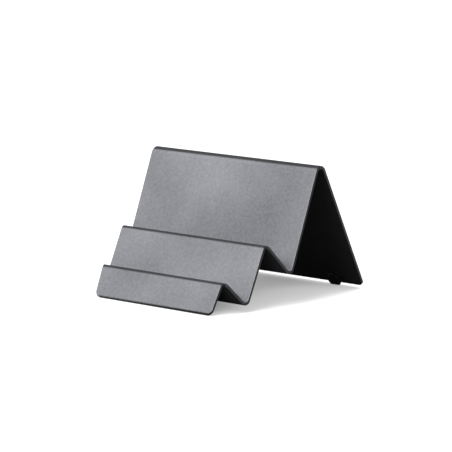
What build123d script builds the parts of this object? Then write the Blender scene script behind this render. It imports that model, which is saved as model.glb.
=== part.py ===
from build123d import *

import os
from math import cos, radians, sin, tan

# A desk stand for business cards: one metal strip folded in a zig-zag, with two stick-on rubber feet.
# Millimetres. +X to the right, +Y to the back, +Z up. The origin is on the table, under the middle.

# Sheet and bends
SHEET_THICKNESS = 1.6
RIDGE_INNER_RADIUS = 0.3
VALLEY_INNER_RADIUS = 1.2
TOP_INNER_RADIUS = 2.4

# Heights above the table of the fold lines, where the upper faces of neighbouring panels would meet
LIP_RIDGE_HEIGHT = 16.0
FRONT_VALLEY_HEIGHT = 4.0
FRONT_RIDGE_HEIGHT = 31.0
REAR_VALLEY_HEIGHT = 15.6
TOP_RIDGE_HEIGHT = 68.2

# Lean of each panel away from upright, in degrees
LIP_LEAN = 27.2
LIP_FALL_LEAN = 35.0
FRONT_PANEL_LEAN = 26.7
FRONT_FALL_LEAN = 33.3
REAR_PANEL_LEAN = 22.6
LEG_LEAN = 28.0

# Outline of the strip, which steps out over each fall
LIP_EDGE_WIDTH = 70.0
LIP_RIDGE_WIDTH = 72.4
FRONT_WIDTH = 86.3
REAR_WIDTH = 100.0
FLARE_RADIUS = 3.0
LIP_CORNER_RADIUS = 2.8
LEG_CORNER_RADIUS = 2.1

# How the stand meets the table: the lip on its dressed edge, the leg held clear of it by the feet
LIP_DRESSING = 0.15
LEG_CLEARANCE = 1.2

# Rubber feet on the inside of the leg, flat where they stand on the table
FOOT_DIAMETER = 7.4
FOOT_HEIGHT = 1.1
FOOT_ROUND = 0.6
FOOT_FLATTENING = 0.9
FOOT_INSET = 15.9
ADHESIVE_THICKNESS = 0.15
ADHESIVE_MARGIN = 0.2

# Upper face of the strip from front to back: each fold line's height and the lean that leads to it
lip_edge_height = SHEET_THICKNESS * sin(radians(LIP_LEAN)) - LIP_DRESSING
leg_edge_height = SHEET_THICKNESS * sin(radians(LEG_LEAN)) + LEG_CLEARANCE
folds = [
    (LIP_RIDGE_HEIGHT, LIP_LEAN),
    (FRONT_VALLEY_HEIGHT, LIP_FALL_LEAN),
    (FRONT_RIDGE_HEIGHT, FRONT_PANEL_LEAN),
    (REAR_VALLEY_HEIGHT, FRONT_FALL_LEAN),
    (TOP_RIDGE_HEIGHT, REAR_PANEL_LEAN),
    (leg_edge_height, LEG_LEAN),
]
heights = [lip_edge_height] + [height for height, lean in folds]
runs = [
    abs(height - last_height) * tan(radians(lean))
    for last_height, (height, lean) in zip(heights, folds)
]
depth = sum(runs)
path = [(sum(runs[:place]) - depth / 2, height) for place, height in enumerate(heights)]
lip_edge, lip_ridge, front_valley, front_ridge, rear_valley, top_ridge, leg_edge = path

# Radii on the upper face: outer at the ridges, inner at the valleys
ridge_radius = RIDGE_INNER_RADIUS + SHEET_THICKNESS
top_radius = TOP_INNER_RADIUS + SHEET_THICKNESS
fold_radii = [ridge_radius, VALLEY_INNER_RADIUS, ridge_radius, VALLEY_INNER_RADIUS, top_radius]

# Right half of the strip seen from above, as the places where its width changes
front_limit = lip_edge[0] - SHEET_THICKNESS
back_limit = leg_edge[0] + SHEET_THICKNESS
half_outline = [
    (LIP_EDGE_WIDTH / 2, front_limit),
    (LIP_EDGE_WIDTH / 2, lip_edge[0]),
    (LIP_RIDGE_WIDTH / 2, lip_ridge[0]),
    (FRONT_WIDTH / 2, front_valley[0]),
    (FRONT_WIDTH / 2, front_ridge[0]),
    (REAR_WIDTH / 2, rear_valley[0]),
    (REAR_WIDTH / 2, back_limit),
]
outline_radii = [0, 0, FLARE_RADIUS, FLARE_RADIUS, FLARE_RADIUS, FLARE_RADIUS, 0]

# Folded stand: the bent section carried across the width, then trimmed to the outline
with BuildPart() as folded_stand:
    with BuildSketch(Plane.YZ):
        with BuildLine():
            FilletPolyline(*path, radius=fold_radii)
            offset(amount=SHEET_THICKNESS, side=Side.RIGHT)
        make_face()
    extrude(amount=REAR_WIDTH / 2, both=True)
    with BuildSketch(Plane.XY):
        with BuildLine():
            FilletPolyline((0, front_limit), *half_outline, (0, back_limit), radius=outline_radii)
            Line((0, back_limit), (0, front_limit))
        make_face()
        mirror(about=Plane.YZ)
    extrude(amount=TOP_RIDGE_HEIGHT, both=True, mode=Mode.INTERSECT)
    lip_cut = folded_stand.faces().sort_by(Axis.Y)[0]
    fillet(lip_cut.edges().filter_by(Axis.X, reverse=True), radius=LIP_CORNER_RADIUS)
    leg_cut = folded_stand.faces().sort_by(Axis.Y)[-1]
    fillet(leg_cut.edges().filter_by(Axis.X, reverse=True), radius=LEG_CORNER_RADIUS)
    split(bisect_by=Plane.XY, keep=Keep.TOP)

# Foot seat: the place on the leg's inner face from which the flattened rim just reaches the table
leg_sine = sin(radians(LEG_LEAN))
leg_cosine = cos(radians(LEG_LEAN))
foot_radius = FOOT_DIAMETER / 2
foot_reach = ADHESIVE_THICKNESS + FOOT_HEIGHT
seat_height = (
    (foot_radius - FOOT_ROUND) * leg_cosine
    + (foot_reach - FOOT_ROUND) * leg_sine
    + FOOT_ROUND
    - FOOT_FLATTENING
)
inner_edge_y = leg_edge[0] - SHEET_THICKNESS * leg_cosine
seat_y = inner_edge_y - (seat_height - LEG_CLEARANCE) * leg_sine / leg_cosine
seat_x = REAR_WIDTH / 2 - FOOT_INSET

os.makedirs("parts", exist_ok=True)
folded_stand.part.label = "folded_stand"
export_step(folded_stand.part, "parts/folded_stand.step")

for side, place in (("right", seat_x), ("left", -seat_x)):
    seat = Plane(origin=(place, seat_y, seat_height), x_dir=(1, 0, 0), z_dir=(0, -leg_cosine, -leg_sine))

    # Adhesive disc between the leg and the foot, cut off short of the table
    with BuildPart() as foot_adhesive:
        with BuildSketch(seat):
            Circle(foot_radius - ADHESIVE_MARGIN)
        extrude(amount=ADHESIVE_THICKNESS)
        split(bisect_by=Plane.XY.offset(ADHESIVE_MARGIN), keep=Keep.TOP)

    # Round rubber foot with a soft front rim, flat where it stands on the table
    with BuildPart() as rear_foot:
        with BuildSketch(seat.offset(ADHESIVE_THICKNESS)):
            Circle(foot_radius)
        extrude(amount=FOOT_HEIGHT)
        front_rim = rear_foot.edges().sort_by(Axis(seat.origin, seat.z_dir))[-1]
        fillet(front_rim, radius=FOOT_ROUND)
        split(bisect_by=Plane.XY, keep=Keep.TOP)

    foot_adhesive.part.label = f"foot_adhesive_{side}"
    export_step(foot_adhesive.part, f"parts/foot_adhesive_{side}.step")
    rear_foot.part.label = f"rear_foot_{side}"
    export_step(rear_foot.part, f"parts/rear_foot_{side}.step")
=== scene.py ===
"""A desk stand for business cards, dressed for its picture.

One strip of sheet steel is folded in a zig-zag and powder coated. It stands on the dressed edge of its
front lip and on two stick-on rubber feet under its back leg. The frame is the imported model's: +X to the
right, +Y to the back, +Z up, with the table at zero. The stand's sizes are in millimetres and the studio's
in metres. Angles are in degrees unless a docstring says radians.
"""

from __future__ import annotations

import logging
from dataclasses import dataclass, field
from enum import Enum
from math import atan2, cos, pi, radians, sin, tan
from typing import Callable, Iterator

import bmesh
import bpy
from mathutils import Matrix, Vector

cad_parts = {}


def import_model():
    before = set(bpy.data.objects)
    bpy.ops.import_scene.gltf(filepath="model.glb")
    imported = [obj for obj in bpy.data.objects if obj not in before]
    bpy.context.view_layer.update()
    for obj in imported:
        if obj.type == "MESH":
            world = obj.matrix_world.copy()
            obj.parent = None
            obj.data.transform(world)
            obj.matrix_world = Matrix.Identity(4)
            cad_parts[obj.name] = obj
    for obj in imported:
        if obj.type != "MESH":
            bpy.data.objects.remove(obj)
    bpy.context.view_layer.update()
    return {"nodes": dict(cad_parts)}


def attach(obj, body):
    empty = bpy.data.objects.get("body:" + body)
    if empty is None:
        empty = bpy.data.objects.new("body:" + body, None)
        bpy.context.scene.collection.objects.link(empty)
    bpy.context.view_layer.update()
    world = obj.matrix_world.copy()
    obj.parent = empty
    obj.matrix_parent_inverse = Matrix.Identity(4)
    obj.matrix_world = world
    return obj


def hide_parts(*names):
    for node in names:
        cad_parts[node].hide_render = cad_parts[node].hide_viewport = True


LOG = logging.getLogger("card_stand")
MM = 0.001
BODY = "root"

# Masks kept with the sheet's mesh: where shade is painted, and where a highlight is painted
PAINTED_SHADE = "undercoat"
PAINTED_HIGHLIGHT = "edge_wear"

# How meshes are worked: lengths in metres, angles in radians, and the cosine that counts as the same way
SAME_PLACE = 0.01 * MM
MERGE_REACH = 0.0005 * MM
CUT_REACH = 1e-7
SHARP_EDGE = radians(60)
SMOOTH_EDGE = radians(40)
SAME_WAY = 0.9
ROUND_PROFILE = 0.5
FLAT_FACE_WEIGHT = 80

Place = tuple[float, float, float]
Span = tuple[float, float]
Spot = tuple[float, float]
Tint = tuple[float, float, float, float]


class FoldKind(Enum):
    """Which way the strip turns at a fold, and how sharply."""

    RIDGE = "ridge"
    VALLEY = "valley"
    TOP = "top"


class Side(Enum):
    """The two ends of the back leg, with the sign of X there."""

    RIGHT = 1
    LEFT = -1


class Rounding(Enum):
    """What a rounding takes off, by the bevel operator's own word for it."""

    EDGES = "EDGES"
    CORNERS = "VERTICES"


# Handling meshes by hand


def clear_selection() -> None:
    """Leave no object selected."""
    bpy.ops.object.select_all(action="DESELECT")


def take_up(piece: bpy.types.Object) -> None:
    """Select one object alone and make it the active one.

    Args:
        piece: The object that the next operators work on.
    """
    clear_selection()
    piece.select_set(True)
    bpy.context.view_layer.objects.active = piece


def pick_corners(piece: bpy.types.Object, wanted: Callable[[Vector], bool]) -> None:
    """Select the vertices of a mesh in edit mode by their place.

    Args:
        piece: The object in edit mode.
        wanted: Says whether a vertex at that place, in metres, is taken.
    """
    bpy.ops.mesh.select_mode(type="VERT")
    bpy.ops.mesh.select_all(action="DESELECT")
    work = bmesh.from_edit_mesh(piece.data)
    for vertex in work.verts:
        vertex.select_set(wanted(vertex.co))
    work.select_flush(True)
    bmesh.update_edit_mesh(piece.data)


def pick_faces(piece: bpy.types.Object, wanted: Callable[[Vector], bool]) -> int:
    """Select the faces of a mesh in edit mode by their normal.

    Args:
        piece: The object in edit mode.
        wanted: Says whether a face with that normal is taken.

    Returns:
        How many faces are selected.
    """
    bpy.ops.mesh.select_mode(type="FACE")
    bpy.ops.mesh.select_all(action="DESELECT")
    work = bmesh.from_edit_mesh(piece.data)
    for face in work.faces:
        face.select_set(wanted(face.normal))
    bmesh.update_edit_mesh(piece.data)
    return sum(face.select for face in work.faces)


def round_over(what: Rounding, radius: float, facets: int) -> None:
    """Round what is selected in edit mode.

    Args:
        what: Whether edges or corners are rounded.
        radius: How far the rounding reaches, in millimetres.
        facets: How many facets it is made of.
    """
    bpy.ops.mesh.bevel(
        affect=what.value, offset=radius * MM, segments=facets, profile=ROUND_PROFILE, clamp_overlap=False
    )


def cut_at_table() -> None:
    """Cut off what reaches below the table from a mesh in edit mode, and close the cut with a flat."""
    bpy.ops.mesh.select_all(action="SELECT")
    bpy.ops.mesh.bisect(
        plane_co=(0, 0, 0), plane_no=(0, 0, -1), use_fill=True, clear_outer=True, threshold=CUT_REACH
    )


def start_mask(piece: bpy.types.Object, name: str) -> None:
    """Add a mask to a mesh, at 0 all over, and make it the one that is painted next.

    Args:
        piece: The object in object mode.
        name: The mask's name.
    """
    piece.data.attributes.active = piece.data.attributes.new(name, "FLOAT", "POINT")


def paint(value: float) -> None:
    """Set the active mask to a value, from 0 to 1, at what is selected in edit mode."""
    bpy.ops.mesh.attribute_set(value_float=value)


def settle(piece: bpy.types.Object, name: str) -> None:
    """Put an object's place into its mesh and name it.

    Args:
        piece: The object to settle at the origin.
        name: The piece's name.
    """
    take_up(piece)
    bpy.ops.object.transform_apply(location=True, rotation=True, scale=True)
    piece.name = name
    piece.data.name = name


def smooth(piece: bpy.types.Object) -> None:
    """Shade a piece smooth over soft edges and keep its flats flat.

    Args:
        piece: The object to shade.
    """
    take_up(piece)
    bpy.ops.object.shade_smooth_by_angle(angle=SMOOTH_EDGE)
    weighting = piece.modifiers.new("flat_faces_lead", "WEIGHTED_NORMAL")
    weighting.keep_sharp = True
    weighting.weight = FLAT_FACE_WEIGHT
    bpy.ops.object.modifier_apply(modifier=weighting.name)


# Finishes


@dataclass(frozen=True)
class NodeSheet:
    """A node tree being laid out, with short ways to add and join its nodes."""

    tree: bpy.types.NodeTree

    def add(self, kind: str, at: Spot, **inputs: object) -> bpy.types.Node:
        """Add a node and set some of its inputs.

        Args:
            kind: The node's type name.
            at: Where it lies on the sheet.
            **inputs: Input values by socket name, with _ for a space.

        Returns:
            The new node.
        """
        node = self.tree.nodes.new(kind)
        node.location = at
        for name, value in inputs.items():
            node.inputs[name.replace("_", " ")].default_value = value
        return node

    def join(self, start: bpy.types.NodeSocket, end: bpy.types.NodeSocket) -> None:
        """Link an output to an input."""
        self.tree.links.new(start, end)

    def spread(
        self,
        value: bpy.types.NodeSocket,
        at: Spot,
        source: Span = (0.0, 1.0),
        result: Span = (0.0, 1.0),
        eased: bool = False,
    ) -> bpy.types.NodeSocket:
        """Stretch a value from one range to another and stop it at both ends.

        Args:
            value: The output to stretch.
            at: Where the node lies on the sheet.
            source: The range that is stretched.
            result: What its two ends become.
            eased: Whether the change starts and ends gently.

        Returns:
            The output that gives the stretched value.
        """
        node = self.add("ShaderNodeMapRange", at, From_Min=source[0], From_Max=source[1])
        node.inputs["To Min"].default_value = result[0]
        node.inputs["To Max"].default_value = result[1]
        if eased:
            node.interpolation_type = "SMOOTHSTEP"
        self.join(value, node.inputs["Value"])
        return node.outputs["Result"]

    def combine(
        self, operation: str, first: bpy.types.NodeSocket, second: bpy.types.NodeSocket, at: Spot
    ) -> bpy.types.NodeSocket:
        """Work out one value from two.

        Args:
            operation: The math node's word for it.
            first: The first value.
            second: The second value.
            at: Where the node lies on the sheet.

        Returns:
            The output that gives the result.
        """
        node = self.add("ShaderNodeMath", at)
        node.operation = operation
        self.join(first, node.inputs[0])
        self.join(second, node.inputs[1])
        return node.outputs["Value"]

    def mix_tints(self, share: bpy.types.NodeSocket, at: Spot) -> bpy.types.Node:
        """Add a mix of two colours, A and B.

        Args:
            share: The output that gives the share of B.
            at: Where the node lies on the sheet.

        Returns:
            The mixing node, with both colours still to be set.
        """
        node = self.add("ShaderNodeMix", at)
        node.data_type = "RGBA"
        self.join(share, node.inputs["Factor"])
        return node


class GrainGroup:
    """The shared surface grain: fine grain, slow mottling and a relief of grain and small pits."""

    NAME = "surface_grain"
    PIT_SHARE = 0.35

    @classmethod
    def tree(cls) -> bpy.types.NodeTree:
        """Give the node group, building it the first time.

        Returns:
            A group with inputs Vector, Grain Scale and Mottle Scale, and outputs Grain, Mottle and Relief.
        """
        if cls.NAME in bpy.data.node_groups:
            return bpy.data.node_groups[cls.NAME]
        group = bpy.data.node_groups.new(cls.NAME, "ShaderNodeTree")
        group.interface.new_socket("Vector", in_out="INPUT", socket_type="NodeSocketVector")
        for name in ("Grain Scale", "Mottle Scale"):
            group.interface.new_socket(name, in_out="INPUT", socket_type="NodeSocketFloat")
        for name in ("Grain", "Mottle", "Relief"):
            group.interface.new_socket(name, in_out="OUTPUT", socket_type="NodeSocketFloat")

        sheet = NodeSheet(group)
        source = sheet.add("NodeGroupInput", (-700, 0))
        result = sheet.add("NodeGroupOutput", (500, 0))
        grain = sheet.add("ShaderNodeTexNoise", (-400, 200), Detail=3.0, Roughness=0.6)
        mottle = sheet.add("ShaderNodeTexNoise", (-400, -150), Detail=2.0, Roughness=0.5)
        pits = sheet.add("ShaderNodeTexVoronoi", (-400, -450), Randomness=1.0)
        blend = sheet.add("ShaderNodeMix", (100, -200), Factor=cls.PIT_SHARE)
        for texture, scale in ((grain, "Grain Scale"), (pits, "Grain Scale"), (mottle, "Mottle Scale")):
            sheet.join(source.outputs["Vector"], texture.inputs["Vector"])
            sheet.join(source.outputs[scale], texture.inputs["Scale"])
        sheet.join(grain.outputs["Fac"], blend.inputs["A"])
        sheet.join(pits.outputs["Distance"], blend.inputs["B"])
        sheet.join(grain.outputs["Fac"], result.inputs["Grain"])
        sheet.join(mottle.outputs["Fac"], result.inputs["Mottle"])
        sheet.join(blend.outputs["Result"], result.inputs["Relief"])
        return group


@dataclass(frozen=True)
class Finish:
    """What every finish here shares: a tint that drifts, a gloss that drifts, and a fine relief.

    Attributes:
        name: The material's name.
        dark: The tint where the grain is darkest.
        light: The tint where the grain is lightest.
        gloss: The roughness at the two ends of the mottling.
        grain_size: The size of the grain, in millimetres.
        mottle_size: The size of the mottling, in millimetres.
        relief: The depth of the relief, in millimetres.
        refraction: The index of refraction.
        cloud: How strongly the mottling darkens the tint.
        shift: How far the pattern is moved, in millimetres.
    """

    name: str
    dark: Tint
    light: Tint
    gloss: Span
    grain_size: float
    mottle_size: float
    relief: float
    refraction: float = 1.5
    cloud: float = 0.0
    shift: Place = (0.0, 0.0, 0.0)

    MOTTLE_ENDS = (0.3, 0.7)

    def material(self) -> bpy.types.Material:
        """Build the finish as a material.

        Returns:
            The material, with its nodes laid out.
        """
        material = bpy.data.materials.new(self.name)
        material.use_nodes = True
        material.node_tree.nodes.clear()
        sheet = NodeSheet(material.node_tree)
        output = sheet.add("ShaderNodeOutputMaterial", (900, 0))
        shader = sheet.add("ShaderNodeBsdfPrincipled", (600, 0), IOR=self.refraction)
        sheet.join(shader.outputs["BSDF"], output.inputs["Surface"])

        place = sheet.add("ShaderNodeTexCoord", (-1100, 0))
        moved = sheet.add("ShaderNodeVectorMath", (-900, 0))
        moved.inputs[1].default_value = Vector(self.shift) * MM
        sheet.join(place.outputs["Object"], moved.inputs[0])
        grain = sheet.add("ShaderNodeGroup", (-650, 0))
        grain.node_tree = GrainGroup.tree()
        grain.inputs["Grain Scale"].default_value = 1 / (self.grain_size * MM)
        grain.inputs["Mottle Scale"].default_value = 1 / (self.mottle_size * MM)
        sheet.join(moved.outputs["Vector"], grain.inputs["Vector"])

        self.colour(sheet, shader, grain)
        self.roughness(sheet, shader, grain)
        bump = sheet.add("ShaderNodeBump", (300, -400), Strength=1.0, Distance=self.relief * MM)
        sheet.join(grain.outputs["Relief"], bump.inputs["Height"])
        sheet.join(bump.outputs["Normal"], shader.inputs["Normal"])
        return material

    def colour(self, sheet: NodeSheet, shader: bpy.types.Node, grain: bpy.types.Node) -> None:
        """Set the finish's colour.

        Args:
            sheet: The material's node sheet.
            shader: The surface shader.
            grain: The placed grain group.
        """
        sheet.join(self.tint_range(sheet, grain), shader.inputs["Base Color"])

    def roughness(self, sheet: NodeSheet, shader: bpy.types.Node, grain: bpy.types.Node) -> None:
        """Set how rough the finish is.

        Args:
            sheet: The material's node sheet.
            shader: The surface shader.
            grain: The placed grain group.
        """
        sheet.join(self.gloss_range(sheet, grain), shader.inputs["Roughness"])

    def tint_range(self, sheet: NodeSheet, grain: bpy.types.Node) -> bpy.types.NodeSocket:
        """Let the tint drift with the grain and, the other way, with the mottling.

        Args:
            sheet: The material's node sheet.
            grain: The placed grain group.

        Returns:
            The output that gives the colour.
        """
        drift = sheet.add("ShaderNodeMath", (-400, 200))
        drift.operation = "MULTIPLY_ADD"
        drift.inputs[1].default_value = -self.cloud
        sheet.join(grain.outputs["Mottle"], drift.inputs[0])
        sheet.join(grain.outputs["Grain"], drift.inputs[2])
        ends = (-self.cloud / 2, 1 - self.cloud / 2)
        tint = sheet.mix_tints(sheet.spread(drift.outputs["Value"], (-200, 200), source=ends), (0, 200))
        tint.inputs["A"].default_value = self.dark
        tint.inputs["B"].default_value = self.light
        return tint.outputs["Result"]

    def gloss_range(self, sheet: NodeSheet, grain: bpy.types.Node) -> bpy.types.NodeSocket:
        """Let the gloss drift with the mottling.

        Args:
            sheet: The material's node sheet.
            grain: The placed grain group.

        Returns:
            The output that gives the roughness.
        """
        return sheet.spread(grain.outputs["Mottle"], (0, -150), source=self.MOTTLE_ENDS, result=self.gloss)


@dataclass(frozen=True)
class PowderCoat(Finish):
    """A satin powder coat, with painted shade on faces and edges that lie in shade and a painted highlight
    on some edges.

    Attributes:
        undercoat: The near-black tint of the painted shade.
        painted_shade_gloss: The roughness where the shade is painted.
        highlight_tint: The light tint of the painted highlight on some rounded edges.
    """

    # Painted shade: a near-black tint and a matt gloss, laid where faces and edges lie in shade
    undercoat: Tint = (0.009, 0.009, 0.0095, 1)
    painted_shade_gloss: float = 0.95
    # Painted highlight: a light tint laid on some rounded front edges
    highlight_tint: Tint = (0.58, 0.58, 0.59, 1)

    def colour(self, sheet: NodeSheet, shader: bpy.types.Node, grain: bpy.types.Node) -> None:
        """Set the coat's colour, with painted shade where its mask says and a painted highlight on some
        front edges.

        Args:
            sheet: The material's node sheet.
            shader: The surface shader.
            grain: The placed grain group.
        """
        # Painted shade: the coat's tint turns near-black where the shade mask says
        both = sheet.mix_tints(self.mask(sheet, PAINTED_SHADE), (250, 150))
        both.inputs["B"].default_value = self.undercoat
        sheet.join(self.tint_range(sheet, grain), both.inputs["A"])
        # Painted highlight on the rounded front edges
        highlighted = sheet.mix_tints(self.mask(sheet, PAINTED_HIGHLIGHT), (450, 150))
        highlighted.inputs["B"].default_value = self.highlight_tint
        sheet.join(both.outputs["Result"], highlighted.inputs["A"])
        sheet.join(highlighted.outputs["Result"], shader.inputs["Base Color"])

    def roughness(self, sheet: NodeSheet, shader: bpy.types.Node, grain: bpy.types.Node) -> None:
        """Set the coat's gloss, and a matt one where the shade is painted.

        Args:
            sheet: The material's node sheet.
            shader: The surface shader.
            grain: The placed grain group.
        """
        both = sheet.add("ShaderNodeMix", (450, -150), B=self.painted_shade_gloss)
        sheet.join(self.mask(sheet, PAINTED_SHADE), both.inputs["Factor"])
        sheet.join(self.gloss_range(sheet, grain), both.inputs["A"])
        sheet.join(both.outputs["Result"], shader.inputs["Roughness"])

    @staticmethod
    def mask(sheet: NodeSheet, name: str) -> bpy.types.NodeSocket:
        """Read one of the sheet's painted masks, from 0 to 1."""
        painted = sheet.add("ShaderNodeAttribute", (0, -400))
        painted.attribute_name = name
        return painted.outputs["Fac"]


# The folded stand


@dataclass(frozen=True)
class Bend:
    """One fold of the strip: its line on the upper face and the turn made there, in radians above +Y."""

    kind: FoldKind
    y: float
    z: float
    lead_angle: float
    leave_angle: float
    radius: float

    @property
    def turn(self) -> float:
        """The turn about +X, in radians."""
        return self.leave_angle - self.lead_angle

    @property
    def setback(self) -> float:
        """How far before the fold line the round starts, in millimetres."""
        return self.radius * tan(abs(self.turn) / 2)

    @property
    def start(self) -> Vector:
        """Where the round starts, in millimetres."""
        y = self.y - self.setback * cos(self.lead_angle)
        z = self.z - self.setback * sin(self.lead_angle)
        return Vector((0, y, z))

    @property
    def centre(self) -> Vector:
        """The middle of the round, in millimetres."""
        inward = self.lead_angle + (pi / 2 if self.turn > 0 else -pi / 2)
        return self.start + self.radius * Vector((0, cos(inward), sin(inward)))


@dataclass
class FoldedStand:
    """The folded strip, from its front lip to its back leg."""

    # Sheet and bends
    thickness: float = 1.6
    inner_radii: dict[FoldKind, float] = field(
        default_factory=lambda: {FoldKind.RIDGE: 0.3, FoldKind.VALLEY: 1.2, FoldKind.TOP: 2.4}
    )
    bend_steps: int = 24

    # Heights above the table of the fold lines, where the upper faces of neighbouring panels would meet
    lip_ridge_height: float = 16.0
    front_valley_height: float = 4.0
    front_ridge_height: float = 31.0
    rear_valley_height: float = 15.6
    top_ridge_height: float = 68.2

    # Angle that each panel leans away from upright
    lip_angle: float = 27.2
    lip_fall_angle: float = 35.0
    front_panel_angle: float = 26.7
    front_fall_angle: float = 33.3
    rear_panel_angle: float = 22.6
    leg_angle: float = 28.0

    # Outline of the strip, which steps out over each fall
    lip_edge_width: float = 70.0
    lip_ridge_width: float = 72.4
    front_width: float = 86.3
    rear_width: float = 100.0
    flare_blend: float = 1.0
    lip_corner_radius: float = 2.8
    leg_corner_radius: float = 2.1
    corner_facets: int = 12

    # Cut edges, and how the two ends meet the table
    edge_round: float = 0.3
    edge_facets: int = 4
    lip_dressing: float = 0.15
    lip_flat: float = 0.04
    leg_clearance: float = 1.2

    # How dark the painted shade is, from 0 to 1, on the crests, the cut sides, the leg's cut sides and faces
    # that look down
    crest_shade: float = 0.86
    cut_shade: float = 0.68
    leg_cut_shade: float = 0.40
    under_shade: float = 0.985

    # Where the painted shade goes on the lip's lower edge: how far up a row is scored, and how far past the
    # rounding the edge counts
    lip_band: float = 0.55
    lip_band_margin: float = 0.05

    # Where the painted shade goes at the ends of the lower ridges: along the strip, down from the fold and
    # in from the cut
    ridge_reach: float = 2.8
    ridge_depth: float = 4.2
    cut_depth: float = 0.18

    # Where a bend's crest gets painted shade, in steps from its sides: those left clear, then those where it
    # fades in
    crest_shade_steps: dict[FoldKind, tuple[int, int]] = field(
        default_factory=lambda: {FoldKind.RIDGE: (0, 4), FoldKind.TOP: (4, 2)}
    )

    # How far a face's normal has to point some way for the face to count as facing it
    down_lean: float = 0.3
    cut_lean: float = 0.85
    # Which rounded front edges get the painted highlight
    highlight_side_lean: Span = (0.3, 0.75)
    highlight_front_lean: float = 0.7
    highlight_up_lean: float = 0.25

    def __post_init__(self) -> None:
        """Work out the fold lines on the upper face and the bends made there."""
        lip_edge_height = self.thickness * sin(radians(self.lip_angle)) - self.lip_dressing
        leg_edge_height = self.thickness * sin(radians(self.leg_angle)) + self.leg_clearance
        self.heights: list[float] = [
            lip_edge_height,
            self.lip_ridge_height,
            self.front_valley_height,
            self.front_ridge_height,
            self.rear_valley_height,
            self.top_ridge_height,
            leg_edge_height,
        ]
        leans = [
            self.lip_angle,
            self.lip_fall_angle,
            self.front_panel_angle,
            self.front_fall_angle,
            self.rear_panel_angle,
            self.leg_angle,
        ]
        rises = [after - before for before, after in zip(self.heights, self.heights[1:])]
        runs = [abs(rise) * tan(radians(lean)) for rise, lean in zip(rises, leans)]
        self.places: list[float] = [sum(runs[:count]) - sum(runs) / 2 for count in range(len(runs) + 1)]
        self.slopes: list[float] = [atan2(rise, run) for rise, run in zip(rises, runs)]
        kinds = [FoldKind.RIDGE, FoldKind.VALLEY, FoldKind.RIDGE, FoldKind.VALLEY, FoldKind.TOP]
        self.bends: list[Bend] = [
            Bend(
                kind=kind,
                y=self.places[count],
                z=self.heights[count],
                lead_angle=self.slopes[count - 1],
                leave_angle=self.slopes[count],
                radius=self.upper_radius(kind),
            )
            for count, kind in enumerate(kinds, start=1)
        ]
        # The row being worked on while the strip is folded: where it lies, and half its width
        self.front: Vector = self.lip_end()
        self.half: float = self.lip_edge_width / 2

    def upper_radius(self, kind: FoldKind) -> float:
        """The radius of the upper face at a kind of fold, in millimetres."""
        return self.inner_radii[kind] + (0 if kind is FoldKind.VALLEY else self.thickness)

    def half_width(self, y: float) -> float:
        """Half the strip's width at a place from front to back, with the outline's corners eased.

        Args:
            y: The place, in millimetres.

        Returns:
            The distance from the middle to the cut side, in millimetres.
        """
        widths = [
            self.lip_edge_width,
            self.lip_ridge_width,
            self.front_width,
            self.front_width,
            self.rear_width,
            self.rear_width,
            self.rear_width,
        ]
        halves = [width / 2 for width in widths]
        stations = list(zip(self.places, halves))
        flares = [
            (wide - narrow) / (back - front)
            for (front, narrow), (back, wide) in zip(stations, stations[1:])
        ]
        blend = self.flare_blend
        for (corner, half), before, after in zip(stations[1:], flares, flares[1:] + [0.0]):
            past = y - corner
            if past < -blend:
                return half + before * past
            if past < blend:
                return half + before * past + (after - before) * (past + blend) ** 2 / (4 * blend)
        return halves[-1]

    def build(self) -> bpy.types.Object:
        """Model the strip: fold it, round its corners, give it thickness and soften its cut edges.

        Returns:
            The finished piece, without a material.
        """
        piece = self.start_lip()
        for bend, slope, last in zip(self.bends, self.slopes[1:], self.last_places()):
            self.fold(bend)
            self.run_on(slope, last)
        self.round_corners(piece)
        self.score_lip()
        bpy.ops.object.mode_set(mode="OBJECT")
        settle(piece, "stand_sheet")
        self.give_thickness(piece)
        self.soften_edges(piece)
        self.dress_lip(piece)
        smooth(piece)
        return piece

    def last_places(self) -> Iterator[Vector]:
        """Where each panel after the lip ends: at the next bend, or at the leg's edge."""
        for bend in self.bends[1:]:
            yield bend.start
        yield Vector((0, self.places[-1], self.heights[-1]))

    def start_lip(self) -> bpy.types.Object:
        """Add the lip's flat as a plane and let it out to its width at both ends.

        Returns:
            The plane in edit mode, with its upper edge selected.
        """
        first = self.lip_end()
        last = self.bends[0].start
        length = (last - first).length
        middle = (first + last) / 2 * MM
        clear_selection()
        bpy.ops.mesh.primitive_plane_add(size=length * MM, location=middle, rotation=(self.slopes[0], 0, 0))
        piece = bpy.context.object
        bpy.ops.object.transform_apply(location=True, rotation=True, scale=True)
        start_mask(piece, PAINTED_SHADE)
        bpy.ops.object.mode_set(mode="EDIT")
        self.half = length / 2
        pick_corners(piece, lambda co: co.z < middle.z)
        self.let_out(first.y)
        self.half = length / 2
        pick_corners(piece, lambda co: co.z > middle.z)
        self.let_out(last.y)
        self.front = last
        return piece

    def lip_end(self) -> Vector:
        """Where the lip's upper face ends, so that its rounded edge reaches the table.

        Returns:
            The end of the face, in millimetres.
        """
        lean = radians(self.lip_angle)
        lost = self.edge_round * (cos(lean) + sin(lean) - 1)
        height = self.thickness * sin(lean) - lost - self.lip_flat
        run = (self.heights[0] - height) * tan(lean)
        return Vector((0, self.places[0] - run, height))

    def let_out(self, y: float) -> None:
        """Widen the selected row to the strip's width at a place, in millimetres."""
        half = self.half_width(y)
        bpy.ops.transform.resize(value=(half / self.half, 1, 1), center_override=(0, 0, 0))
        self.half = half

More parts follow.
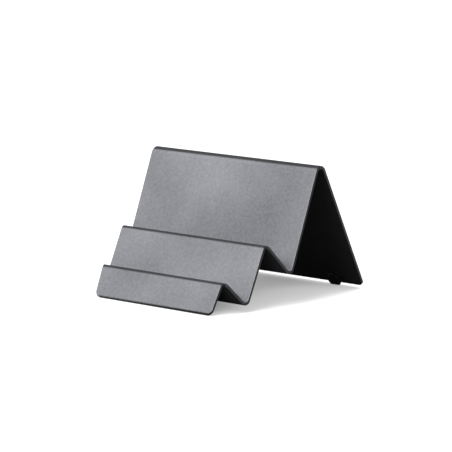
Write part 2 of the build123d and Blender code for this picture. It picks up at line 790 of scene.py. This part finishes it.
    def fold(self, bend: Bend) -> None:
        """Turn the selected edge round a bend in small steps.

        Args:
            bend: The bend to make.
        """
        centre = bend.centre
        for step in range(1, self.bend_steps + 1):
            bpy.ops.mesh.spin(
                steps=1,
                angle=-bend.turn / self.bend_steps,
                center=centre * MM,
                axis=(1, 0, 0),
                use_auto_merge=False,
            )
            arm = bend.start - centre
            arm.rotate(Matrix.Rotation(bend.turn * step / self.bend_steps, 3, "X"))
            self.front = centre + arm
            self.let_out(self.front.y)
            # Paint shade on the ridge crests, a step at a time
            paint(self.crest_shade_at(bend, step))

    def crest_shade_at(self, bend: Bend, step: int) -> float:
        """How much painted shade a step of a bend gets.

        Args:
            bend: The bend.
            step: The step, counted from the bend's start.

        Returns:
            Nothing in the valleys, and on a ridge more and more from its sides up to its crest.
        """
        if bend.kind is FoldKind.VALLEY:
            return 0.0
        sound, ramp = self.crest_shade_steps[bend.kind]
        inward = min(step, self.bend_steps - step) - sound
        return self.crest_shade * max(0.0, min(1.0, inward / ramp))

    def run_on(self, slope: float, last: Vector) -> None:
        """Draw the selected edge out into the next flat panel.

        Args:
            slope: The panel's direction, in radians above +Y.
            last: Where the panel ends, in millimetres.
        """
        length = (last - self.front).length * MM
        bpy.ops.mesh.extrude_region_move(
            TRANSFORM_OT_translate={"value": (0, length * cos(slope), length * sin(slope))}
        )
        self.front = last
        self.let_out(last.y)

    def round_corners(self, piece: bpy.types.Object) -> None:
        """Round the four corners of the strip's two ends.

        Args:
            piece: The folded sheet in edit mode.
        """
        lip = (self.lip_end().y, self.lip_corner_radius)
        leg = (self.places[-1], self.leg_corner_radius)
        for place, radius in (lip, leg):
            pick_corners(piece, lambda co: abs(co.y - place * MM) < SAME_PLACE)
            round_over(Rounding.CORNERS, radius, self.corner_facets)

    def score_lip(self) -> None:
        """Cut a row across the lip just above its edge, so that the edge's painted shade can be marked
        apart.
        """
        along = Vector((0, cos(self.slopes[0]), sin(self.slopes[0])))
        line = (self.lip_end() + along * self.lip_band) * MM
        bpy.ops.mesh.select_all(action="SELECT")
        bpy.ops.mesh.bisect(plane_co=line, plane_no=along, threshold=CUT_REACH)

    def give_thickness(self, piece: bpy.types.Object) -> None:
        """Thicken the sheet towards its underside.

        Args:
            piece: The folded sheet.
        """
        take_up(piece)
        bpy.ops.object.mode_set(mode="EDIT")
        bpy.ops.mesh.select_all(action="SELECT")
        bpy.ops.mesh.remove_doubles(threshold=MERGE_REACH)
        bpy.ops.mesh.normals_make_consistent(inside=False)
        looking_up = pick_faces(piece, lambda normal: normal.z > 0)
        looking_down = pick_faces(piece, lambda normal: normal.z < 0)
        if looking_up < looking_down:
            bpy.ops.mesh.select_all(action="SELECT")
            bpy.ops.mesh.flip_normals()
        bpy.ops.object.mode_set(mode="OBJECT")
        wall = piece.modifiers.new("sheet_thickness", "SOLIDIFY")
        wall.thickness = self.thickness * MM
        wall.offset = -1
        wall.use_even_offset = True
        bpy.ops.object.modifier_apply(modifier=wall.name)

    def soften_edges(self, piece: bpy.types.Object) -> None:
        """Round the cut edges, then mark where shade is painted and where a highlight is painted.

        Args:
            piece: The sheet with its thickness.
        """
        take_up(piece)
        bpy.ops.object.mode_set(mode="EDIT")
        bpy.ops.mesh.select_mode(type="EDGE")
        bpy.ops.mesh.select_all(action="DESELECT")
        bpy.ops.mesh.edges_select_sharp(sharpness=SHARP_EDGE)
        round_over(Rounding.EDGES, self.edge_round, self.edge_facets)
        self.paint_shade(piece)
        bpy.ops.object.mode_set(mode="OBJECT")
        start_mask(piece, PAINTED_HIGHLIGHT)
        bpy.ops.object.mode_set(mode="EDIT")
        self.paint_highlight(piece)
        bpy.ops.object.mode_set(mode="OBJECT")

    def paint_shade(self, piece: bpy.types.Object) -> None:
        """Mark how dark the painted shade is, each mark over the ones before it.

        Args:
            piece: The sheet in edit mode, with its cut edges rounded.
        """
        # Painted shade on the ridge ends, faces that look down, the cut sides, the leg's cut sides and the
        # lip's lower edge
        pick_corners(piece, self.ridge_end)
        paint(self.cut_shade)
        pick_faces(piece, self.looks_down)
        paint(self.under_shade)
        pick_faces(piece, self.side_cut)
        paint(self.cut_shade)
        pick_corners(piece, self.leg_cut)
        paint(self.leg_cut_shade)
        pick_corners(piece, self.lip_edge)
        paint(self.under_shade)

    def paint_highlight(self, piece: bpy.types.Object) -> None:
        """Mark the painted highlight on the rounded front edges, and clear it where the painted shade rules.

        Args:
            piece: The sheet in edit mode, with its cut edges rounded.
        """
        pick_faces(piece, self.highlight_round)
        paint(1.0)
        pick_faces(piece, lambda normal: self.side_cut(normal) or self.looks_down(normal))
        paint(0.0)
        pick_corners(piece, self.ridge_end)
        paint(0.0)

    def ridge_end(self, co: Vector) -> bool:
        """Whether a corner lies on the cut at either end of one of the two lower ridges.

        Args:
            co: The corner's place, in metres.

        Returns:
            True where the strip twists as it flares out from a ridge into a fall.
        """
        x, y, z = co / MM
        if abs(x) < self.half_width(y) - self.cut_depth:
            return False
        ridges = [bend for bend in self.bends if bend.kind is FoldKind.RIDGE]
        return any(
            abs(y - bend.y) < self.ridge_reach and z > bend.z - self.ridge_depth for bend in ridges
        )

    def leg_cut(self, co: Vector) -> bool:
        """Whether a corner, placed in metres, lies on one of the leg's cut sides."""
        return co.y > self.bends[-1].y * MM and abs(co.x) > self.rear_width / 2 * MM - SAME_PLACE

    def lip_edge(self, co: Vector) -> bool:
        """Whether a corner, placed in metres, lies on the lip's lower edge."""
        band = (self.edge_round + self.lip_band_margin) * cos(radians(self.lip_angle))
        return co.y < 0 and co.z < (self.lip_end().z + band) * MM

    def looks_down(self, normal: Vector) -> bool:
        """Whether a face looks down, or forward and a little down, where shade is painted on it."""
        return normal.z < -self.down_lean or (normal.z < 0 and normal.y < -self.down_lean)

    def side_cut(self, normal: Vector) -> bool:
        """Whether a face is part of the strip's cut sides, which get painted shade."""
        return abs(normal.x) > self.cut_lean

    def highlight_round(self, normal: Vector) -> bool:
        """Whether a face is part of the rounded front edge at the right of a panel, which gets a painted
        highlight.
        """
        least, most = self.highlight_side_lean
        sideways = least < normal.x < most
        return sideways and normal.y < -self.highlight_front_lean and normal.z > self.highlight_up_lean

    def dress_lip(self, piece: bpy.types.Object) -> None:
        """Dress the lip's edge flat where it stands on the table.

        Args:
            piece: The sheet with its soft edges.
        """
        take_up(piece)
        bpy.ops.object.mode_set(mode="EDIT")
        cut_at_table()
        bpy.ops.object.mode_set(mode="OBJECT")

    def dress(self, piece: bpy.types.Object) -> None:
        """Coat the strip and put it on the body.

        Args:
            piece: The finished sheet.
        """
        coat = PowderCoat(
            name="powder_coat",
            dark=(0.112, 0.114, 0.119, 1),
            light=(0.292, 0.295, 0.303, 1),
            gloss=(0.42, 0.54),
            grain_size=1.3,
            mottle_size=40.0,
            relief=0.012,
            cloud=0.85,
            shift=(113.0, 289.0, -94.0),
        )
        piece.data.materials.append(coat.material())
        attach(piece, BODY)
        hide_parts("folded_stand")


# The feet


@dataclass
class RearFeet:
    """Two round rubber feet and the adhesive discs that hold them inside the back leg."""

    stand: FoldedStand
    diameter: float = 7.4
    facets: int = 64
    height: float = 1.1
    draft: float = 0.97
    rim_round: float = 0.6
    rim_facets: int = 8
    flattening: float = 0.9
    inset: float = 15.9
    adhesive: float = 0.15

    def seat(self, side: Side) -> Vector:
        """Where a foot's middle meets the leg's inner face.

        Args:
            side: The end of the leg.

        Returns:
            The place, in millimetres.
        """
        lean = radians(self.stand.leg_angle)
        reach = self.adhesive + self.height - self.rim_round
        hang = (self.diameter / 2 - self.rim_round) * cos(lean) + reach * sin(lean)
        z = hang + self.rim_round - self.flattening
        inner_edge = self.stand.places[-1] - self.stand.thickness * cos(lean)
        y = inner_edge - (z - self.stand.leg_clearance) * tan(lean)
        return Vector((side.value * (self.stand.rear_width / 2 - self.inset), y, z))

    def build(self, side: Side) -> bpy.types.Object:
        """Model one foot: a short drafted drum with a soft front rim, flat where it stands on the table.

        Args:
            side: The end of the leg.

        Returns:
            The finished foot, without a material.
        """
        lean = radians(self.stand.leg_angle)
        outward = Vector((0, -cos(lean), -sin(lean)))
        middle = self.seat(side) + outward * (self.adhesive + self.height / 2)
        clear_selection()
        bpy.ops.mesh.primitive_cylinder_add(
            vertices=self.facets,
            radius=self.diameter / 2 * MM,
            depth=self.height * MM,
            location=middle * MM,
            rotation=(pi / 2 + lean, 0, 0),
        )
        foot = bpy.context.object
        settle(foot, f"rubber_foot_{side.name.lower()}")
        bpy.ops.object.mode_set(mode="EDIT")
        pick_faces(foot, lambda normal: normal.dot(outward) > SAME_WAY)
        front = (middle + outward * self.height / 2) * MM
        bpy.ops.transform.resize(value=(self.draft,) * 3, center_override=front)
        round_over(Rounding.EDGES, self.rim_round, self.rim_facets)
        cut_at_table()
        bpy.ops.object.mode_set(mode="OBJECT")
        smooth(foot)
        return foot

    def copy(self, foot: bpy.types.Object, start: Side, end: Side) -> bpy.types.Object:
        """Copy a finished foot, with a mesh of its own, to the other end of the leg.

        Args:
            foot: The foot to copy.
            start: The end of the leg that it is at.
            end: The end that the copy goes to.

        Returns:
            The copy, without a material.
        """
        across = (self.seat(end).x - self.seat(start).x) * MM
        take_up(foot)
        bpy.ops.object.duplicate_move(TRANSFORM_OT_translate={"value": (across, 0, 0)})
        twin = bpy.context.object
        settle(twin, f"rubber_foot_{end.name.lower()}")
        return twin

    def dress(self, foot: bpy.types.Object, side: Side, rubber: bpy.types.Material) -> None:
        """Give a foot its rubber and put it on the body.

        Args:
            foot: The finished foot.
            side: The end of the leg that it is at.
            rubber: The rubber's material.
        """
        foot.data.materials.append(rubber)
        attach(foot, BODY)
        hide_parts(f"rear_foot_{side.name.lower()}")

    @staticmethod
    def rubber() -> bpy.types.Material:
        """The feet's matt black rubber."""
        return Finish(
            name="foot_rubber",
            dark=(0.005, 0.005, 0.0053, 1),
            light=(0.012, 0.012, 0.0125, 1),
            gloss=(0.62, 0.78),
            grain_size=0.25,
            mottle_size=2.5,
            relief=0.010,
            refraction=1.48,
        ).material()

    @staticmethod
    def dress_adhesive(nodes: dict[str, bpy.types.Object]) -> None:
        """Give the adhesive discs their film.

        Args:
            nodes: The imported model's objects by name.
        """
        film = Finish(
            name="adhesive_film",
            dark=(0.010, 0.010, 0.010, 1),
            light=(0.022, 0.022, 0.022, 1),
            gloss=(0.35, 0.5),
            grain_size=0.35,
            mottle_size=1.6,
            relief=0.006,
            refraction=1.47,
        ).material()
        for side in Side:
            disc = nodes[f"foot_adhesive_{side.name.lower()}"]
            disc.data.materials.clear()
            disc.data.materials.append(film)


# The studio


@dataclass(frozen=True)
class Softbox:
    """A soft rectangular lamp that faces the stand.

    Attributes:
        name: The lamp's name.
        azimuth: How far round to the right of straight in front it hangs.
        elevation: How far above the level it hangs.
        distance: How far away it hangs, in metres.
        width: Its width, in metres.
        height: Its height, in metres.
        radiance: How bright its face is.
        tint: The colour of its light.
    """

    name: str
    azimuth: float
    elevation: float
    distance: float
    width: float
    height: float
    radiance: float
    tint: tuple[float, float, float] = (0.97, 0.985, 1.04)

    def hang(self, target: Vector) -> None:
        """Add the lamp.

        Args:
            target: The point that it faces, in metres.
        """
        data = bpy.data.lights.new(self.name, "AREA")
        data.shape = "RECTANGLE"
        data.size = self.width
        data.size_y = self.height
        data.energy = self.radiance * pi * self.width * self.height
        data.color = self.tint
        lamp = bpy.data.objects.new(self.name, data)
        bpy.context.scene.collection.objects.link(lamp)
        round_angle = radians(self.azimuth)
        rise_angle = radians(self.elevation)
        level = cos(rise_angle)
        toward = Vector((sin(round_angle) * level, -cos(round_angle) * level, sin(rise_angle)))
        lamp.location = target + toward * self.distance
        lamp.rotation_euler = toward.to_track_quat("Z", "Y").to_euler()


@dataclass(frozen=True)
class Studio:
    """A pale floor, soft light and the camera, in metres."""

    # The floor: its paper, how bright it is seen by how open it lies, which paints a shadow under the stand,
    # and where mirrored rays see it too
    floor_size: float = 30.0
    floor_tint: Tint = (0.37, 0.37, 0.37, 1)
    floor_roughness: float = 0.9
    floor_lifts: tuple[Span, ...] = (
        (0.0, 0.13),
        (0.07, 0.21),
        (0.12, 0.34),
        (0.17, 0.48),
        (0.46, 0.61),
        (0.61, 0.97),
    )
    shade_reach: float = 0.08
    shade_samples: int = 32
    mirrored_from: Span = (0.15, 0.60)

    # The light: two lamps, a dim room and a brighter ceiling, whose rim is given by the sine of its height
    lamps: tuple[Softbox, ...] = (
        Softbox(
            name="side_softbox",
            azimuth=-56.0,
            elevation=34.0,
            distance=0.9,
            width=0.76,
            height=0.50,
            radiance=3.9,
        ),
        Softbox(
            name="front_softbox",
            azimuth=4.0,
            elevation=49.0,
            distance=0.9,
            width=0.46,
            height=0.62,
            radiance=5.1,
        ),
    )
    lamp_target: Place = (0.0, 0.0, 0.03)
    room_light: float = 0.25
    ceiling_light: float = 0.6
    ceiling_rim: Span = (0.74, 0.94)

    # The camera, with its lens and sensor in millimetres
    camera_place: Place = (0.7898, -0.9647, 0.2521)
    camera_azimuth: float = 39.14
    camera_elevation: float = 10.057
    lens: float = 213.84
    sensor: float = 36.0
    near_limit: float = 0.05

    def set_up(self) -> None:
        """Lay the floor, light the room, hang the lamps and stand the camera."""
        self.lay_floor()
        self.light_room()
        for lamp in self.lamps:
            lamp.hang(Vector(self.lamp_target))
        self.stand_camera()
        bpy.context.scene.view_settings.view_transform = "Standard"

    def lay_floor(self) -> None:
        """Add a white floor that stays white where it is lit, with a shadow under the stand that is partly
        real and partly painted.
        """
        clear_selection()
        bpy.ops.mesh.primitive_plane_add(size=self.floor_size)
        floor = bpy.context.object
        floor.name = "studio_floor"
        floor.data.materials.append(self.floor_material())

    def floor_material(self) -> bpy.types.Material:
        """Build the floor's paper, and the lift that makes it look white and, lowered where the stand hems
        the floor in, paints a shadow.

        Returns:
            The material, with its nodes laid out.
        """
        material = bpy.data.materials.new("studio_floor")
        material.use_nodes = True
        material.node_tree.nodes.clear()
        sheet = NodeSheet(material.node_tree)
        output = sheet.add("ShaderNodeOutputMaterial", (600, 0))
        paper = sheet.add(
            "ShaderNodeBsdfPrincipled", (0, 200), Base_Color=self.floor_tint, Roughness=self.floor_roughness
        )
        paper.inputs["Specular IOR Level"].default_value = 0.0
        # The lift follows ambient occlusion, so it paints a shadow under the stand
        openness = sheet.add("ShaderNodeAmbientOcclusion", (-900, -100), Distance=self.shade_reach)
        openness.samples = self.shade_samples
        brighter = sheet.add("ShaderNodeValToRGB", (-600, -100))
        stops = brighter.color_ramp.elements
        for count, (openness_there, strength) in enumerate(self.floor_lifts):
            stop = stops[count] if count < len(stops) else stops.new(openness_there)
            stop.position = openness_there
            stop.color = (strength, strength, strength, 1)
        sheet.join(openness.outputs["AO"], brighter.inputs["Fac"])
        lift = sheet.add("ShaderNodeEmission", (200, -200))
        sheet.join(brighter.outputs["Color"], lift.inputs["Color"])
        sheet.join(self.seen(sheet), lift.inputs["Strength"])
        both = sheet.add("ShaderNodeAddShader", (400, 0))
        sheet.join(paper.outputs["BSDF"], both.inputs[0])
        sheet.join(lift.outputs["Emission"], both.inputs[1])
        sheet.join(both.outputs["Shader"], output.inputs["Surface"])
        return material

    def seen(self, sheet: NodeSheet) -> bpy.types.NodeSocket:
        """Tell the rays that look at the floor from those that carry its light on.

        Args:
            sheet: The floor's node sheet.

        Returns:
            An output that is 1 for camera rays and, away from the stand, for mirrored and transmitted ones.
        """
        place = sheet.add("ShaderNodeTexCoord", (-1200, -400))
        distance = sheet.add("ShaderNodeVectorMath", (-1000, -400))
        distance.operation = "DISTANCE"
        sheet.join(place.outputs["Object"], distance.inputs[0])
        away = sheet.spread(distance.outputs["Value"], (-700, -450), source=self.mirrored_from, eased=True)
        rays = sheet.add("ShaderNodeLightPath", (-1000, -700)).outputs
        through = sheet.combine(
            "MAXIMUM", rays["Is Glossy Ray"], rays["Is Transmission Ray"], (-700, -700)
        )
        mirrored = sheet.combine("MULTIPLY", through, away, (-450, -600))
        return sheet.combine("MAXIMUM", rays["Is Camera Ray"], mirrored, (-200, -500))

    def light_room(self) -> None:
        """Light the room dimly from all round and more strongly from a broad soft ceiling."""
        world = bpy.data.worlds.new("studio_room")
        bpy.context.scene.world = world
        world.use_nodes = True
        world.node_tree.nodes.clear()
        sheet = NodeSheet(world.node_tree)
        output = sheet.add("ShaderNodeOutputWorld", (600, 0))
        room = sheet.add("ShaderNodeBackground", (300, 0), Color=(1, 1, 1, 1))
        direction = sheet.add("ShaderNodeTexCoord", (-600, 0))
        parts = sheet.add("ShaderNodeSeparateXYZ", (-300, 0))
        sheet.join(direction.outputs["Generated"], parts.inputs["Vector"])
        level = sheet.spread(
            parts.outputs["Z"],
            (0, 0),
            source=self.ceiling_rim,
            result=(self.room_light, self.ceiling_light),
            eased=True,
        )
        sheet.join(level, room.inputs["Strength"])
        sheet.join(room.outputs["Background"], output.inputs["Surface"])

    def stand_camera(self) -> None:
        """Add the camera at the picture's viewing angle."""
        data = bpy.data.cameras.new("picture_camera")
        data.lens = self.lens
        data.sensor_width = self.sensor
        data.clip_start = self.near_limit
        camera = bpy.data.objects.new("picture_camera", data)
        bpy.context.scene.collection.objects.link(camera)
        camera.location = self.camera_place
        camera.rotation_euler = (radians(90 - self.camera_elevation), 0, radians(self.camera_azimuth))
        bpy.context.scene.camera = camera


def main() -> None:
    """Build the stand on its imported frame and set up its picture."""
    logging.basicConfig(level=logging.INFO, format="%(name)s: %(message)s")
    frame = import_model()

    stand = FoldedStand()
    sheet = stand.build()
    stand.dress(sheet)
    LOG.info("%s: %d faces", sheet.name, len(sheet.data.polygons))

    feet = RearFeet(stand)
    rubber = feet.rubber()
    right_foot = feet.build(Side.RIGHT)
    left_foot = feet.copy(right_foot, Side.RIGHT, Side.LEFT)
    for side, foot in ((Side.RIGHT, right_foot), (Side.LEFT, left_foot)):
        feet.dress(foot, side, rubber)
        LOG.info("%s: %d faces", foot.name, len(foot.data.polygons))
    feet.dress_adhesive(frame["nodes"])
    LOG.info("adhesive discs dressed")

    Studio().set_up()
    LOG.info("studio set up")


if __name__ == "__main__":
    main()
